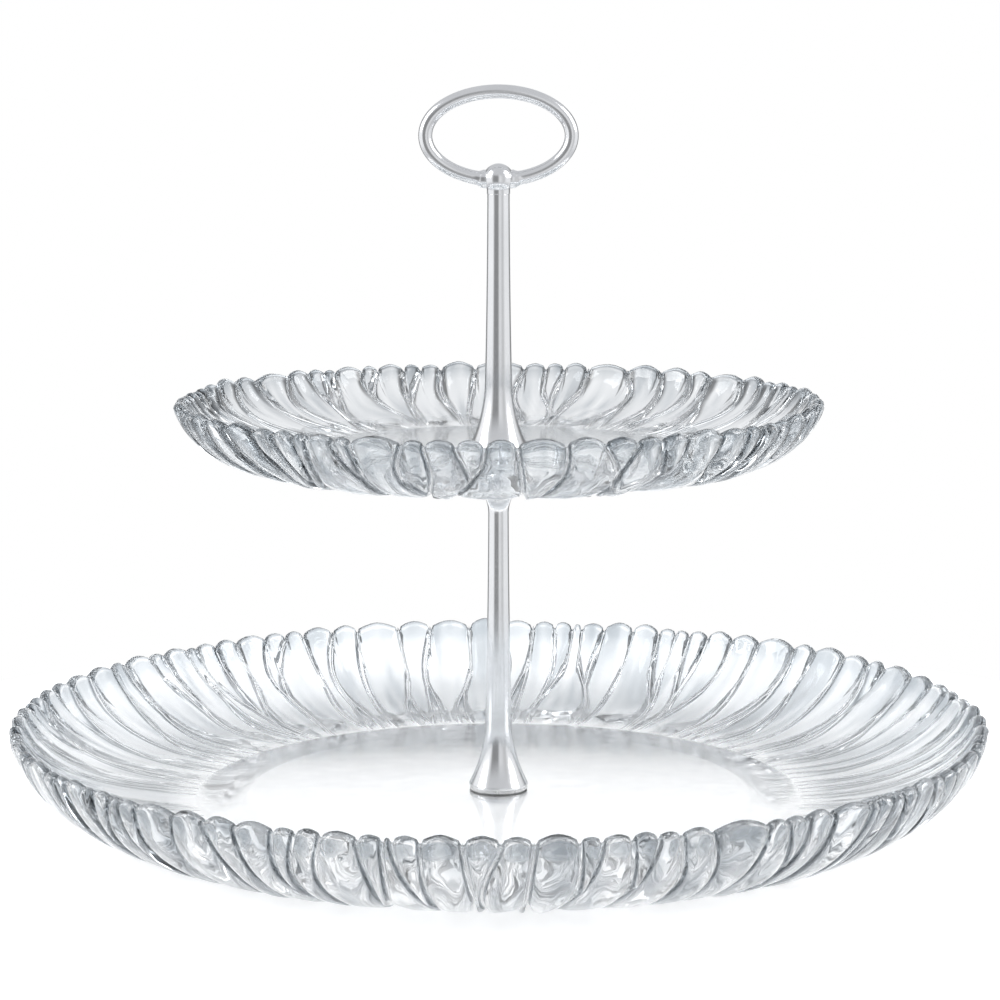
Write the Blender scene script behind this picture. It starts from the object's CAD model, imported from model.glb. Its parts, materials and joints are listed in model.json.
"""Looks of the two-tier glass cake stand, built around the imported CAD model, in metres."""

import json
import random
from math import cos, pi, radians, sin

import bmesh
import bpy
import numpy as np
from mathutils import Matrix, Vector


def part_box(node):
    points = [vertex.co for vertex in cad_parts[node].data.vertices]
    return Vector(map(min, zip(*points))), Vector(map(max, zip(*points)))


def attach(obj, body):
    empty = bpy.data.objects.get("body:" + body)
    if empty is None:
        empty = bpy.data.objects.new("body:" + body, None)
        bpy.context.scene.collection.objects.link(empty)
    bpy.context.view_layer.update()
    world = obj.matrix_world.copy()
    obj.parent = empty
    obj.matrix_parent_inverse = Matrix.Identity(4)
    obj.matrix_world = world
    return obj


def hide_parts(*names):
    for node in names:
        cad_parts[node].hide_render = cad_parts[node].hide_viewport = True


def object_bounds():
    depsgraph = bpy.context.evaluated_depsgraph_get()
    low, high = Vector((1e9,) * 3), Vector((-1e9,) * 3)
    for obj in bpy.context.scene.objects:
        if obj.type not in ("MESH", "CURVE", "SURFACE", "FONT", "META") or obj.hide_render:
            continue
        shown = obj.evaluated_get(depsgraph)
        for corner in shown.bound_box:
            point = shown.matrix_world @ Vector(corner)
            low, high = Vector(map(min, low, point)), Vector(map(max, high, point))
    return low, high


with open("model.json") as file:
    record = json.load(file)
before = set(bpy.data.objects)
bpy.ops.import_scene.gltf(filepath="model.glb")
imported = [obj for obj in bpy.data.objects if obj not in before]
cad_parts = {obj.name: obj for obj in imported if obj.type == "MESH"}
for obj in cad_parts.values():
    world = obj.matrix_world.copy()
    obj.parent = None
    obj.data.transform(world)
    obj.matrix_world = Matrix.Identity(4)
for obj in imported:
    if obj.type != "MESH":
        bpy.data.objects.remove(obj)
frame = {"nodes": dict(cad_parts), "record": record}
cad_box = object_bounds()

MM = 0.001
scene = bpy.context.scene


# ---- materials ----------------------------------------------------------------------------------------
class Nodes:
    """A new node material with its Principled shader, and short ways to add and link nodes."""

    def __init__(self, name):
        self.material = bpy.data.materials.new(name)
        self.material.use_nodes = True
        self.tree = self.material.node_tree
        self.shader = self.tree.nodes["Principled BSDF"]

    def add(self, kind, **settings):
        node = self.tree.nodes.new(kind)
        for key, value in settings.items():
            if key in node.inputs:
                node.inputs[key].default_value = value
            else:
                setattr(node, key, value)
        return node

    def link(self, source, target):
        self.tree.links.new(source, target)

    def set(self, **values):
        for key, value in values.items():
            self.shader.inputs[key.replace("_", " ")].default_value = value

    def place(self):
        return self.add("ShaderNodeTexCoord").outputs["Object"]

    def noise(self, scale, detail=2.0, place=None, roughness=0.5):
        node = self.add("ShaderNodeTexNoise")
        node.inputs["Scale"].default_value = scale
        node.inputs["Detail"].default_value = detail
        node.inputs["Roughness"].default_value = roughness
        self.link(place or self.place(), node.inputs["Vector"])
        return node.outputs["Fac"]

    def spread(self, value, low, high):
        """Noise mapped to low to high, from the middle part of 0 to 1 that it mostly fills."""
        node = self.add("ShaderNodeMapRange")
        node.inputs["From Min"].default_value = 0.3
        node.inputs["From Max"].default_value = 0.7
        node.inputs["To Min"].default_value = low
        node.inputs["To Max"].default_value = high
        self.link(value, node.inputs["Value"])
        return node.outputs["Result"]

    def ramp(self, value, *stops):
        node = self.add("ShaderNodeValToRGB")
        elements = node.color_ramp.elements
        while len(elements) < len(stops):
            elements.new(0.5)
        for element, (at, colour) in zip(elements, stops):
            element.position = at
            element.color = (*colour, 1)
        self.link(value, node.inputs["Fac"])
        return node.outputs["Color"]

    def bump(self, height, strength, distance):
        node = self.add("ShaderNodeBump")
        node.inputs["Strength"].default_value = strength
        node.inputs["Distance"].default_value = distance
        self.link(height, node.inputs["Height"])
        self.link(node.outputs["Normal"], self.shader.inputs["Normal"])


def glass():
    """Clear pressed glass, faintly cool.

    The flanks of its cast pattern are greyer and its flat floor is satin.
    """
    m = Nodes("clear_glass")
    m.set(Transmission_Weight=1.0, IOR=1.5)
    place = m.place()
    flank = m.add("ShaderNodeAttribute", attribute_name="flank").outputs["Fac"]
    m.link(
        m.ramp(flank, (0.0, (0.975, 0.982, 0.985)), (0.3, (0.45, 0.485, 0.515)), (1.0, (0.05, 0.06, 0.07))),
        m.shader.inputs["Base Color"],
    )
    flat = m.add("ShaderNodeMath", operation="MULTIPLY_ADD")
    m.link(m.add("ShaderNodeAttribute", attribute_name="flat").outputs["Fac"], flat.inputs[0])
    flat.inputs[1].default_value = 0.1
    m.link(m.spread(m.noise(180, 2, place), 0.0, 0.02), flat.inputs[2])
    m.link(flat.outputs[0], m.shader.inputs["Roughness"])
    m.bump(m.noise(90, 1, place), 0.04, 0.4 * MM)
    return m.material


def satin_chrome():
    """Plated metal with a satin face: fine grain around the part and a soft sheen."""
    m = Nodes("satin_chrome")
    m.set(Metallic=1.0)
    place = m.place()
    m.link(
        m.ramp(m.noise(60, 3, place), (0.3, (0.78, 0.785, 0.80)), (0.7, (0.85, 0.855, 0.865))),
        m.shader.inputs["Base Color"],
    )
    m.link(m.spread(m.noise(700, 4, place), 0.13, 0.20), m.shader.inputs["Roughness"])
    m.bump(m.noise(2400, 3, place), 0.05, 0.05 * MM)
    return m.material


def clear_plastic():
    """Soft, slightly milky washer plastic."""
    m = Nodes("clear_plastic")
    m.set(Transmission_Weight=0.25, IOR=1.45)
    place = m.place()
    m.link(
        m.ramp(m.noise(300, 2, place), (0.3, (0.90, 0.91, 0.92)), (0.7, (0.96, 0.965, 0.97))),
        m.shader.inputs["Base Color"],
    )
    m.link(m.spread(m.noise(500, 3, place), 0.22, 0.36), m.shader.inputs["Roughness"])
    m.bump(m.noise(1200, 3, place), 0.1, 0.05 * MM)
    return m.material


def brass():
    """Machined brass."""
    m = Nodes("brass")
    m.set(Metallic=1.0)
    place = m.place()
    m.link(
        m.ramp(m.noise(250, 4, place), (0.3, (0.66, 0.48, 0.20)), (0.7, (0.80, 0.62, 0.30))),
        m.shader.inputs["Base Color"],
    )
    m.link(m.spread(m.noise(900, 4, place), 0.22, 0.38), m.shader.inputs["Roughness"])
    m.bump(m.noise(2000, 2, place), 0.15, 0.03 * MM)
    return m.material


def zinc_steel():
    """Bright zinc plate, a little cloudy."""
    m = Nodes("zinc_steel")
    m.set(Metallic=1.0)
    place = m.place()
    m.link(
        m.ramp(m.noise(220, 5, place), (0.3, (0.58, 0.60, 0.63)), (0.7, (0.74, 0.75, 0.77))),
        m.shader.inputs["Base Color"],
    )
    m.link(m.spread(m.noise(600, 5, place), 0.25, 0.45), m.shader.inputs["Roughness"])
    m.bump(m.noise(1800, 3, place), 0.12, 0.03 * MM)
    return m.material


MATERIALS = {
    "clear_glass": glass(),
    "satin_chrome": satin_chrome(),
    "clear_plastic": clear_plastic(),
    "brass": brass(),
    "zinc_steel": zinc_steel(),
}
SLOT_OF = {part["node"]: part["material_slot"] for part in frame["record"]["subparts"]}
for node, thing in frame["nodes"].items():
    for held in thing.material_slots:
        held.material = MATERIALS[SLOT_OF[node]]
    thing.data.shade_smooth()


def finish_piece(piece, node):
    """Gives a new piece the material, slot and body of the CAD node that it stands for."""
    body = next(b for b, nodes in frame["record"]["behaviour"]["bodies"].items() if node in nodes)
    piece.data.materials.append(MATERIALS[SLOT_OF[node]])
    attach(piece, body)
    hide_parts(node)
    return piece


# ---- meshes made of rings -----------------------------------------------------------------------------
def ring_faces(first_a, count_a, first_b, count_b):
    """Faces between ring a and the ring b after it, which has as many points, or half or twice as many."""
    faces = []
    if count_a == count_b:
        for i in range(count_a):
            j = (i + 1) % count_a
            faces.append((first_a + i, first_a + j, first_b + j, first_b + i))
        return faces
    if count_a == 2 * count_b:
        for i in range(count_b):
            a, b, c = 2 * i, 2 * i + 1, (2 * i + 2) % count_a
            j = (i + 1) % count_b
            faces.append((first_a + a, first_a + b, first_b + i))
            faces.append((first_a + b, first_b + j, first_b + i))
            faces.append((first_a + b, first_a + c, first_b + j))
        return faces
    return [tuple(reversed(f)) for f in ring_faces(first_b, count_b, first_a, count_a)]


def mesh_of_rings(name, rings):
    """A closed mesh from rings of points, each an array of (x, y, z). The last ring joins the first."""
    faces, firsts, total = [], [], 0
    for ring in rings:
        firsts.append(total)
        total += len(ring)
    for k in (*range(len(rings) - 1), -1):
        faces += ring_faces(firsts[k], len(rings[k]), firsts[k + 1], len(rings[k + 1]))
    mesh = bpy.data.meshes.new(name)
    mesh.from_pydata(np.vstack(rings).tolist(), [], faces)
    mesh.validate()
    made = bmesh.new()
    made.from_mesh(mesh)
    bmesh.ops.recalc_face_normals(made, faces=made.faces)
    made.to_mesh(mesh)
    made.free()
    mesh.shade_smooth()
    piece = bpy.data.objects.new(name, mesh)
    scene.collection.objects.link(piece)
    return piece


def bezier(points, t):
    """Points on a cubic Bezier at the values t."""
    a, b, c, d = (np.array(p, float) for p in points)
    t = np.asarray(t)[:, None]
    return (1 - t) ** 3 * a + 3 * t * (1 - t) ** 2 * b + 3 * t * t * (1 - t) * c + t**3 * d


# ---- pressed glass dishes -----------------------------------------------------------------------------
# waves that make the fine streaks, and the finest and coarsest wave's length along the wall over 2 pi
RIPPLES, FINEST_RIPPLE, COARSEST_RIPPLE = 7, 0.6 * MM, 1.6 * MM
FADE = 14 * MM  # the way up from the foot over which the cast pattern grows to its full depth
LOBES_START = 0.35  # the share of the way from foot to rim at which the lobes begin
# the grey of a land: all over it, towards the side that leans in, in the streaks, and on a groove's flanks
LAND_GREY, LEAN_GREY, STREAK_GREY, FLANK_GREY = 0.14, 0.36, 0.26, 0.9


def smooth(x):
    """0 to 1 with level ends."""
    x = np.clip(x, 0, 1)
    return x * x * (3 - 2 * x)


class Lands:
    """The cast pattern on a dish's wall: lands between grooves that run from foot to rim.

    A groove that forks starts a land part of the way up, or ends one.
    """

    # where a land's points lie beside a groove, and how many more lie in the land's middle
    GROOVE = np.array([0, 0.30, 0.45, 0.60, 0.75, 0.95, 1.20]) * MM
    INSIDE = 5
    NARROW = 1.35 * MM  # the half width under which a land's points beside its grooves draw together
    CLOSEST = 0.35 * MM  # the least way between two grooves

    def __init__(self, count, forks_up, forks_down, seed):
        draw = random.Random(seed)
        pitch = 2 * pi / count
        kinds = ["up"] * forks_up + ["down"] * forks_down + ["plain"] * (count - forks_up - forks_down)
        draw.shuffle(kinds)
        self.lines = []
        for k, kind in enumerate(kinds):
            stray = 0.2 if k in (0, count - 1) else 1
            self.lines.append(
                {
                    "kind": kind,
                    "angle": pitch * (k + stray * draw.uniform(-0.26, 0.26)),
                    "lean": pitch * stray * draw.uniform(-0.9, 0.9),
                    "wave": pitch * stray * draw.uniform(-0.26, 0.26),
                    "fork": draw.uniform(0.35, 0.72),
                    "open": pitch * draw.uniform(0.22, 0.34),
                }
            )
        number = count + forks_up + forks_down
        self.crown, self.tilt, self.tone, self.phase = (
            np.array([draw.random() for _ in range(number)]) for _ in range(4)
        )

    def grooves(self, s, closest):
        """The angles of the grooves at share s of the way from foot to rim.

        They are in order, and at least the angle closest apart.
        """
        found = []
        for line in self.lines:
            middle = line["angle"] + line["lean"] * (1 - s) + line["wave"] * sin(2 * pi * s)
            apart = 0
            if line["kind"] == "up" and s > line["fork"]:
                apart = line["open"] * ((s - line["fork"]) / (1 - line["fork"])) ** 0.8
            if line["kind"] == "down" and s < line["fork"]:
                apart = line["open"] * ((line["fork"] - s) / line["fork"]) ** 0.7
            found += [middle] if line["kind"] == "plain" else [middle - apart, middle + apart]
        found = sorted(found)
        for k in range(1, len(found)):
            found[k] = max(found[k], found[k - 1] + closest)
        return np.array(found)

    def ring(self, s, radius):
        """Points around the dish at share s of the way from foot to rim.

        Gives their angles, their lands, the way to the nearest groove in metres, the way across the land
        from -1 to 1, and the land's half width.
        """
        low = self.grooves(s, self.CLOSEST / radius)
        high = np.append(low[1:], low[0] + 2 * pi)
        half = ((high - low) / 2 * radius)[:, None]
        beside = self.GROOVE * np.minimum(1, half / self.NARROW)
        last = beside[:, -1:]
        between = np.arange(1, self.INSIDE + 1) / (self.INSIDE + 1)
        along = np.hstack([beside, last + between * (2 * half - 2 * last), 2 * half - beside[:, :0:-1]])
        lands = np.repeat(np.arange(len(low)), along.shape[1])
        nearest = np.minimum(along, 2 * half - along)
        around = low[:, None] + along / radius
        widths = np.broadcast_to(half, along.shape)
        return around.ravel(), lands, nearest.ravel(), (along / half - 1).ravel(), widths.ravel()


def softened(points, radius):
    """A profile's points with a small arc in place of each inner corner.

    A further point on each side of the arc holds the flats flat.
    """
    points = [np.array(p, float) for p in points]
    out = [points[0]]
    for before, corner, after in zip(points, points[1:], points[2:]):
        back, ahead = before - corner, after - corner
        back, ahead = back / np.linalg.norm(back), ahead / np.linalg.norm(ahead)
        out.append(corner + 1.6 * radius * back)
        for t in (0, 0.25, 0.5, 0.75, 1):
            start, end = corner + radius * back, corner + radius * ahead
            out.append((1 - t) ** 2 * start + 2 * t * (1 - t) * corner + t**2 * end)
        out.append(corner + 1.6 * radius * ahead)
    return out + [points[-1]]


class Path:
    """A profile line in radius and height that can be read by the distance along it."""

    def __init__(self, points):
        self.points = np.array(points)
        steps = np.hypot(*np.diff(self.points, axis=0).T)
        self.run = np.concatenate([[0], np.cumsum(steps)])
        self.length = self.run[-1]

    def at(self, distance):
        return np.stack([np.interp(distance, self.run, self.points[:, k]) for k in (0, 1)], -1)

    def inward(self, distance):
        """The direction into the glass, which lies on the left of the way along the line."""
        step = 0.2 * MM
        tangent = self.at(np.minimum(distance + step, self.length)) - self.at(np.maximum(distance - step, 0))
        tangent /= np.linalg.norm(tangent, axis=-1)[..., None]
        return np.stack([-tangent[..., 1], tangent[..., 0]], -1)


def dish(node, size, pattern):
    """A pressed glass dish around the CAD node's box.

    Cast lands and grooves cover its outside. Its inside is smooth, apart from shallow grooves near the rim.
    """
    low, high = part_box(node)
    foot_z, radius, rim_top = low.z, high.x, high.z - low.z
    rim_z = rim_top - size["rim"] / 2
    pattern_lands = Lands(**pattern)
    draw = random.Random(pattern["seed"] + 100)
    fewest, most = round(radius / COARSEST_RIPPLE), round(radius / FINEST_RIPPLE)
    ripples = [(draw.randint(fewest, most), draw.uniform(-9, 9)) for _ in range(RIPPLES)]

    def wall(start, end, reach):
        (r0, z0), (r1, z1) = start, end
        return bezier(
            [
                (r0, z0),
                (r0 + reach * (r1 - r0), z0 + 0.06 * (z1 - z0)),
                (r1 - 0.07 * (r1 - r0), z0 + 0.50 * (z1 - z0)),
                (r1, z1),
            ],
            np.linspace(0, 1, 60),
        )

    foot_start = size["foot_in"]
    outer = Path([(foot_start, 0), *wall((size["foot"], 0), (radius, rim_z), 0.5)])
    inner = Path(wall((size["floor"], size["floor_top"]), (radius - size["rim"], rim_z), 0.55))

    rings, flanks, flats = [], [], []

    def lay(flat_points, around, flank=0.0, flat=0.0):
        """Adds a ring of points, given as radius and height above the foot, at the angles around."""
        flat_points = np.broadcast_to(flat_points, (len(around), 2))
        r, z = flat_points[:, 0], flat_points[:, 1]
        rings.append(np.stack([r * np.cos(around), r * np.sin(around), foot_z + z], 1))
        flanks.append(np.broadcast_to(flank, len(around)))
        flats.append(np.full(len(around), flat))

    # the underside, from the drilled hole out to the foot
    foot_around = pattern_lands.ring(0, foot_start)[0]
    hole, recess, bevel = size["hole"], size["recess"], 0.4 * MM
    under = [(hole, recess + bevel), *((hole + k * bevel, recess) for k in (1, 2, 4))]
    slope_start = size["recess_out"]
    for t in np.linspace(0, 1, 9):
        under.append((slope_start + t * (foot_start - slope_start) - 0.1 * MM, recess * (1 - smooth(t))))
    for p in under[:-1]:
        lay(p, foot_around[::4])
    lay(under[-1], foot_around[::2])

    # the cast outside
    rim_around, _, _, rim_across, rim_width = pattern_lands.ring(1, radius)
    share = np.clip(rim_width / size["full_lobe"], 0.3, 1)
    share = share * (0.65 + 0.35 * np.repeat(pattern_lands.tone, len(rim_width) // len(pattern_lands.tone)))
    short = size["lobe"] * (1 - share * (1 - np.abs(rim_across) ** 1.8))
    for t in np.linspace(0, 1, size["outer_rings"]):
        r = outer.at(t * outer.length)[0]
        around, lands, nearest, across, _ = pattern_lands.ring(t, r)
        height = smooth((nearest - size["bottom"]) / size["flank"])
        fade = smooth(t * outer.length / FADE)
        body = size["crown"] * (0.4 + pattern_lands.crown[lands]) * across**2
        lean = 2 * pattern_lands.tilt[lands] - 1
        body += size["tilt"] * np.abs(lean) * (1 + np.sign(lean) * across) / 2
        streaks = sum(np.sin(n * around + drift * t + n) for n, drift in ripples) / len(ripples)
        deep = fade * (size["groove"] * (1 - height) + body + size["ripple"] * streaks)
        leaning = pattern_lands.tone[lands] * (0.5 + 0.5 * np.sign(lean) * across)
        tone = LAND_GREY + LEAN_GREY * leaning + STREAK_GREY * streaks
        tone = tone * (0.75 + 0.35 * np.sin(7 * t + 6.3 * pattern_lands.phase[lands])) * height
        flank = fade * np.clip(FLANK_GREY * 4 * height * (1 - height) + tone, 0, 1)
        distance = t * outer.length - short * smooth((t - LOBES_START) / (1 - LOBES_START))
        edge = outer.at(distance) + outer.inward(distance) * deep[:, None]
        lay(np.maximum(edge, [0, 0]), around, flank)

    # the rounded rim, and the smooth inside down to the floor
    def inner_ring(t, every):
        distance = t * inner.length - short[::every] * smooth((t - LOBES_START) / (1 - LOBES_START))
        sunk = size["inner_groove"] * (1 - height[::every]) * smooth((t - 0.62) / 0.38)
        return inner.at(distance) - inner.inward(distance) * sunk[:, None]

    inner_edge = inner_ring(1.0, 1)
    middle, reach = (edge + inner_edge) / 2, (edge - inner_edge) / 2
    up = np.stack([-reach[:, 1], reach[:, 0]], 1)
    for turn in np.linspace(0, pi, size["rim_rings"] + 2)[1:-1]:
        lay(middle + reach * cos(turn) + up * sin(turn), rim_around, np.maximum(flank, 0.9 * sin(turn) ** 3))
    for t in np.linspace(1, 0, size["inner_rings"]):
        tint = size["inner_tone"] * smooth(t / 0.2) + 0.2 * smooth((t - 0.9) / 0.1)
        lay(inner_ring(t, 2), rim_around[::2], tint, 1.0 if t == 0 else 0.0)
    for r in (size["floor"] - 2 * MM, hole + 3 * bevel, hole + bevel):
        lay((r, size["floor_top"]), rim_around[::4], flat=1.0)
    lay((hole, size["floor_top"] - bevel), rim_around[::4])
    piece = mesh_of_rings(node + "_glass", rings)
    for name, values in (("flank", flanks), ("flat", flats)):
        piece.data.attributes.new(name, "FLOAT", "POINT").data.foreach_set("value", np.concatenate(values))
    return finish_piece(piece, node)


LOWER = {
    "outer_rings": 26,
    "inner_rings": 11,
    "rim_rings": 5,
    "hole": 5.0 * MM,
    "foot": 118 * MM,
    "foot_in": 100 * MM,
    "recess_out": 82 * MM,
    "recess": 3.6 * MM,
    "floor": 97 * MM,
    "floor_top": 7.6 * MM,
    "rim": 4.4 * MM,
    "groove": 1.5 * MM,
    "inner_groove": 0.7 * MM,
    "bottom": 0.35 * MM,
    "flank": 0.75 * MM,
    "crown": 0.9 * MM,
    "tilt": 1.1 * MM,
    "ripple": 0.28 * MM,
    "lobe": 3.0 * MM,
    "inner_tone": 0.17,
    "full_lobe": 6.0 * MM,
}
UPPER = dict(
    LOWER,
    foot=77 * MM,
    foot_in=66 * MM,
    recess_out=57 * MM,
    recess=0.8 * MM,
    inner_tone=0.05,
    floor=64 * MM,
    floor_top=4.4 * MM,
)
dish("lower_plate", LOWER, {"count": 76, "forks_up": 24, "forks_down": 34, "seed": 4})
dish("upper_plate", UPPER, {"count": 50, "forks_up": 16, "forks_down": 20, "seed": 9})


# ---- turned and bent metal ----------------------------------------------------------------------------
NECK = 4.45 * MM  # a column's radius where the flare of its foot ends
FLARE_END = 20.8 * MM  # and the height of that place above its base


def turned(name, profile, steps=96):
    """A turned piece from its closed profile of (radius, height), in metres."""
    around = np.arange(steps) * 2 * pi / steps
    rings = [np.stack([r * np.cos(around), r * np.sin(around), np.full(steps, z)], 1) for r, z in profile]
    return mesh_of_rings(name, rings)


def column(node, waist, bore):
    """A flared column around the CAD node's box: waist holds its curved side above the flare."""
    low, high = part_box(node)
    radius, base, top = high.x, low.z, high.z
    lip = 0.8 * MM
    flare = [
        (radius, base + lip),
        (radius - 2.6 * MM, base + lip + 5 * MM),
        (4.75 * MM, base + lip + 11.2 * MM),
        (NECK, base + FLARE_END),
    ]
    side = [*bezier(flare, np.linspace(0.06, 1, 26))]
    for curve in waist(base, top):
        side += [*bezier(curve, np.linspace(0, 1, 26)[1:])]
    end_radius = side[-1][0]
    seat, insert_top = 3.5 * MM, 14 * MM
    ends = [
        (end_radius, top),
        (bore, top),
        (bore, base + insert_top),
        (4.0 * MM, base + insert_top),
        (4.0 * MM, base + seat),
        (7.2 * MM, base + seat),
        (7.2 * MM, base),
        (radius, base),
        (radius, base + lip),
        side[0],
    ]
    profile = side[:-2] + softened([side[-2], *ends], 0.12 * MM)[:-1]
    return finish_piece(turned(node + "_turned", profile), node)


def upper_waist(base, top):
    start = base + FLARE_END
    rise = top - start
    return [
        [(NECK, start), (4.24 * MM, start + 0.12 * rise), (3.77 * MM, start + 0.45 * rise), (3.6 * MM, top)],
    ]


def lower_waist(base, top):
    start, waist, lip = base + FLARE_END, top - 15.9 * MM, top - 0.8 * MM
    rise, flare, narrow = waist - start, lip - waist, 3.35 * MM
    return [
        [(NECK, start), (4.175 * MM, start + 0.12 * rise), (3.57 * MM, start + 0.45 * rise), (narrow, waist)],
        [(narrow, waist), (3.45 * MM, waist + 0.35 * flare), (6.8 * MM, waist + 0.6 * flare), (8.6 * MM, lip)],
    ]


column("upper_column", upper_waist, 2.5 * MM)
column("lower_column", lower_waist, 2.0 * MM)


def handle():
    """The ball on its short neck, and the oval ring whose wire swells where it meets the ball."""
    ball_low, ball_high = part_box("handle_ball")
    ring_low, ring_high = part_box("handle_ring")
    ball = ball_high.x
    ball_z = ball_high.z - ball
    wire = (ring_high.y - ring_low.y) / 2
    a, b = ring_high.x - wire, (ring_high.z - ring_low.z) / 2 - wire
    ring_z = (ring_high.z + ring_low.z) / 2
    neck_z = ball_low.z + 10 * MM
    profile = [(0.02 * MM, ball_z + ball)]
    for turn in np.linspace(radians(88), radians(-40), 40):
        profile.append((ball * cos(turn), ball_z + ball * sin(turn)))
    neck = softened(
        [
            profile[-1],
            (3.75 * MM, neck_z + 0.75 * MM),
            (3.75 * MM, neck_z),
            (2.5 * MM, neck_z),
            (2.5 * MM, ball_low.z),
            (0.02 * MM, ball_low.z),
        ],
        0.12 * MM,
    )
    finish_piece(turned("handle_ball_turned", profile + neck[1:]), "handle_ball")
    steps, around = 200, np.arange(32) * 2 * pi / 32
    swell, swell_reach = 0.75 * MM, 1.1 * MM
    rings = []
    for k in range(steps):
        turn = 2 * pi * k / steps
        middle = np.array([a * cos(turn), 0, ring_z + b * sin(turn)])
        out = np.array([b * cos(turn), 0, a * sin(turn)])
        out /= np.linalg.norm(out)
        off_ball = np.hypot(middle[0], middle[2] - ball_z) - ball
        thick = wire + swell * np.exp(-((max(off_ball, 0) / swell_reach) ** 2))
        rings.append(middle + thick * (np.cos(around)[:, None] * out + np.sin(around)[:, None] * [0, 1, 0]))
    finish_piece(mesh_of_rings("handle_ring_bent", rings), "handle_ring")


handle()


# ---- stage, light and camera --------------------------------------------------------------------------
def floor():
    """A small round white light table."""
    radius, steps = 0.28, 96
    rim = [(radius * cos(2 * pi * k / steps), radius * sin(2 * pi * k / steps), 0) for k in range(steps)]
    mesh = bpy.data.meshes.new("floor")
    mesh.from_pydata(rim, [], [tuple(range(steps))])
    thing = bpy.data.objects.new("floor", mesh)
    thing.location.z = cad_box[0][2] - 0.05 * MM
    scene.collection.objects.link(thing)
    m = Nodes("pale_floor")
    m.set(Base_Color=(0.9, 0.9, 0.9, 1), Roughness=0.9, Emission_Color=(1, 1, 1, 1), Emission_Strength=0.6)
    mesh.materials.append(m.material)


# what the glass and the metal mirror: (share of a full turn, from the camera by way of its left, brightness)
ROOM = [
    (0.000, 0.42),
    (0.020, 0.30),
    (0.110, 0.30),
    (0.150, 1.05),
    (0.330, 1.05),
    (0.370, 0.25),
    (0.440, 0.25),
    (0.465, 1.00),
    (0.535, 1.00),
    (0.560, 0.25),
    (0.630, 0.25),
    (0.680, 0.95),
    (0.830, 0.95),
    (0.880, 0.60),
    (0.950, 0.85),
    (0.985, 0.85),
    (1.000, 0.42),
]
COOL = (0.985, 0.995, 1.01)
ABOVE = (0.66, 0.67, 0.69)


def studio():
    """Soft boxes left and right, grey flags between them and the white wall behind, and a pale grey ceiling."""
    world = bpy.data.worlds.new("studio")
    scene.world = world
    world.use_nodes = True
    tree = world.node_tree

    def add(kind, **settings):
        node = tree.nodes.new(kind)
        for key, value in settings.items():
            setattr(node, key, value)
        return node

    def link(source, target):
        tree.links.new(source, target)

    background = tree.nodes["Background"]
    split = add("ShaderNodeSeparateXYZ")
    link(add("ShaderNodeTexCoord").outputs["Generated"], split.inputs[0])
    turn = add("ShaderNodeMath", operation="ARCTAN2")
    link(split.outputs["X"], turn.inputs[0])
    link(split.outputs["Y"], turn.inputs[1])
    share = add("ShaderNodeMath", operation="MULTIPLY_ADD")
    share.inputs[1].default_value = 1 / (2 * pi)
    share.inputs[2].default_value = 0.5
    link(turn.outputs[0], share.inputs[0])
    ramp = add("ShaderNodeValToRGB")
    elements = ramp.color_ramp.elements
    while len(elements) < len(ROOM):
        elements.new(0.5)
    for element, (at, bright) in zip(elements, ROOM):
        element.position = at
        element.color = (*(bright * c for c in COOL), 1)
    link(share.outputs[0], ramp.inputs["Fac"])
    level = add("ShaderNodeMath", operation="ABSOLUTE")
    link(split.outputs["Z"], level.inputs[0])
    high = add("ShaderNodeMapRange")
    high.inputs["From Min"].default_value = 0.30
    high.inputs["From Max"].default_value = 0.55
    link(level.outputs[0], high.inputs["Value"])
    mix = add("ShaderNodeMix", data_type="RGBA")
    link(high.outputs["Result"], mix.inputs["Factor"])
    link(ramp.outputs["Color"], mix.inputs[6])
    mix.inputs[7].default_value = (*ABOVE, 1)
    link(mix.outputs[2], background.inputs["Color"])
    # the camera itself sees a plain pale room
    plain = add("ShaderNodeBackground")
    plain.inputs["Color"].default_value = (1, 1, 1, 1)
    pick = add("ShaderNodeMixShader")
    link(add("ShaderNodeLightPath").outputs["Is Camera Ray"], pick.inputs["Fac"])
    link(background.outputs[0], pick.inputs[1])
    link(plain.outputs[0], pick.inputs[2])
    link(pick.outputs[0], tree.nodes["World Output"].inputs["Surface"])


def lamp(name, place, aim, size, power):
    light = bpy.data.lights.new(name, "AREA")
    light.shape = "RECTANGLE"
    light.size, light.size_y = size
    light.energy = power
    thing = bpy.data.objects.new(name, light)
    thing.location = place
    thing.rotation_euler = (Vector(aim) - Vector(place)).to_track_quat("-Z", "Y").to_euler()
    scene.collection.objects.link(thing)


def camera():
    """The view of the stand from 9 degrees above level, from about a metre away."""
    distance, height, tilt = 1.003, 0.2606, 8.89
    view = bpy.data.cameras.new("camera")
    view.sensor_width = 36
    view.lens = 112.14
    view.clip_start = 0.01
    thing = bpy.data.objects.new("camera", view)
    thing.location = (0.0, -distance, height)
    thing.rotation_euler = (radians(90 - tilt), 0, 0)
    view.shift_x = 0.0015
    scene.collection.objects.link(thing)
    scene.camera = thing


floor()
studio()
centre = (0, 0, cad_box[1][2] / 2)
lamp("left_box", (-1.3, -0.3, 0.9), centre, (0.7, 1.0), 12)
lamp("right_box", (1.3, -0.3, 0.9), centre, (0.7, 1.0), 12)
camera()
scene.view_settings.view_transform = "Standard"
scene.cycles.transmission_bounces = 24
scene.cycles.glossy_bounces = 24
scene.cycles.max_bounces = 32
